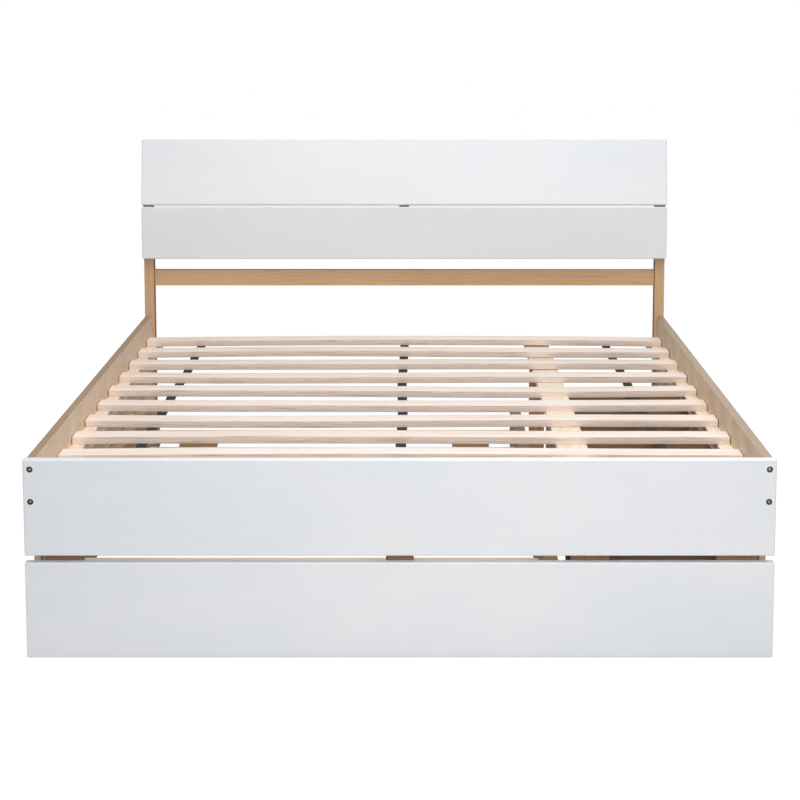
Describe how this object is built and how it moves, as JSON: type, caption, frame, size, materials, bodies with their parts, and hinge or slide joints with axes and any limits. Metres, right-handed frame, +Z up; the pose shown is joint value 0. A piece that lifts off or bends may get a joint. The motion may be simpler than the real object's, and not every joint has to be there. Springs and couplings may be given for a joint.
{
  "type": "platform bed with storage drawers",
  "caption": "Slatted platform bed with white footboard and headboard planks, side drawers on runners and a roll-out trundle on castors.",
  "frame": {"origin": "centre of the bed footprint, on the floor", "axes": "+Z up, +Y from the foot to the head, +X to the right as seen from the foot (the drawer side)"},
  "size_m": [1.605, 2.1811, 0.9772],
  "materials": {
    "white_lacquer": "satin white lacquer over timber",
    "frame_timber": "clear satin finish, cathedral grain",
    "slat_timber": "planed softwood, unfinished",
    "panel_board": "veneered board, clear matt finish",
    "webbing": "woven webbing tape",
    "bolt_steel": "bronze-grey plated steel",
    "runner_steel": "bright zinc-plated sheet",
    "castor_steel": "zinc-plated pressing",
    "castor_plastic": "moulded nylon"
  },
  "bodies": {
    "root": {"footboard_lower_plank": "white_lacquer", "footboard_upper_plank": "white_lacquer", "headboard_lower_plank": "white_lacquer", "headboard_upper_plank": "white_lacquer", "footboard_corner_batten_left": "frame_timber", "footboard_corner_batten_right": "frame_timber", "footboard_centre_batten": "frame_timber", "footboard_support_leg": "frame_timber", "side_rail_left": "frame_timber", "side_rail_right": "frame_timber", "slat_ledger_left": "frame_timber", "slat_ledger_right": "frame_timber", "slat_support_leg": "frame_timber", "head_post_left": "frame_timber", "head_post_right": "frame_timber", "headboard_centre_brace": "frame_timber", "headboard_cross_rail": "frame_timber", "side_end_panel": "frame_timber", "slat_01": "slat_timber", "slat_02": "slat_timber", "slat_03": "slat_timber", "slat_04": "slat_timber", "slat_05": "slat_timber", "slat_06": "slat_timber", "slat_07": "slat_timber", "slat_08": "slat_timber", "slat_09": "slat_timber", "slat_10": "slat_timber", "slat_support_board": "slat_timber", "drawer_partition_1": "panel_board", "drawer_partition_2": "panel_board", "drawer_partition_3": "panel_board", "drawer_bay_back": "panel_board", "slat_straps": "webbing", "frame_bolts": "bolt_steel", "barrel_nuts": "bolt_steel", "runner_rails": "runner_steel"},
    "drawer_1": {"drawer_1_front": "frame_timber", "drawer_1_side_foot": "panel_board", "drawer_1_side_head": "panel_board", "drawer_1_back": "panel_board", "drawer_1_bottom": "panel_board", "drawer_1_runner_inner": "runner_steel"},
    "drawer_1_runner": {"drawer_1_runner_middle": "runner_steel"},
    "drawer_2": {"drawer_2_front": "frame_timber", "drawer_2_side_foot": "panel_board", "drawer_2_side_head": "panel_board", "drawer_2_back": "panel_board", "drawer_2_bottom": "panel_board", "drawer_2_runner_inner": "runner_steel"},
    "drawer_2_runner": {"drawer_2_runner_middle": "runner_steel"},
    "trundle": {"trundle_rail_outer": "frame_timber", "trundle_rail_inner": "frame_timber", "trundle_fascia": "frame_timber", "trundle_castor_blocks": "frame_timber", "trundle_slats": "slat_timber", "trundle_castor_brackets": "castor_steel"},
    "trundle_castors_outer": {"trundle_wheels_outer": "castor_plastic"},
    "trundle_castors_inner": {"trundle_wheels_inner": "castor_plastic"}
  },
  "joints": [
    {"name": "drawer_1_slide", "type": "slide", "parent": "root", "child": "drawer_1", "axis": [1, 0, 0], "range_m": [0, 0.34]},
    {"name": "drawer_1_runner_slide", "type": "slide", "parent": "root", "child": "drawer_1_runner", "axis": [1, 0, 0], "range_m": [0, 0.17]},
    {"name": "drawer_2_slide", "type": "slide", "parent": "root", "child": "drawer_2", "axis": [1, 0, 0], "range_m": [0, 0.34]},
    {"name": "drawer_2_runner_slide", "type": "slide", "parent": "root", "child": "drawer_2_runner", "axis": [1, 0, 0], "range_m": [0, 0.17]},
    {"name": "trundle_slide", "type": "slide", "parent": "root", "child": "trundle", "axis": [-1, 0, 0], "range_m": [0, 1.118]},
    {"name": "castors_outer_spin", "type": "hinge", "parent": "trundle", "child": "trundle_castors_outer", "pos_m": [-0.622, -0.03067, 0.02], "axis": [0, -1, 0], "continuous": true},
    {"name": "castors_inner_spin", "type": "hinge", "parent": "trundle", "child": "trundle_castors_inner", "pos_m": [0.2005, -0.03067, 0.02], "axis": [0, -1, 0], "continuous": true}
  ],
  "couplings": [
    {"joint": "drawer_1_runner_slide", "follows": "drawer_1_slide", "ratio": 0.5},
    {"joint": "drawer_2_runner_slide", "follows": "drawer_2_slide", "ratio": 0.5},
    {"joint": "castors_outer_spin", "follows": "trundle_slide", "rad_per_m": 50},
    {"joint": "castors_inner_spin", "follows": "trundle_slide", "rad_per_m": 50}
  ]
}
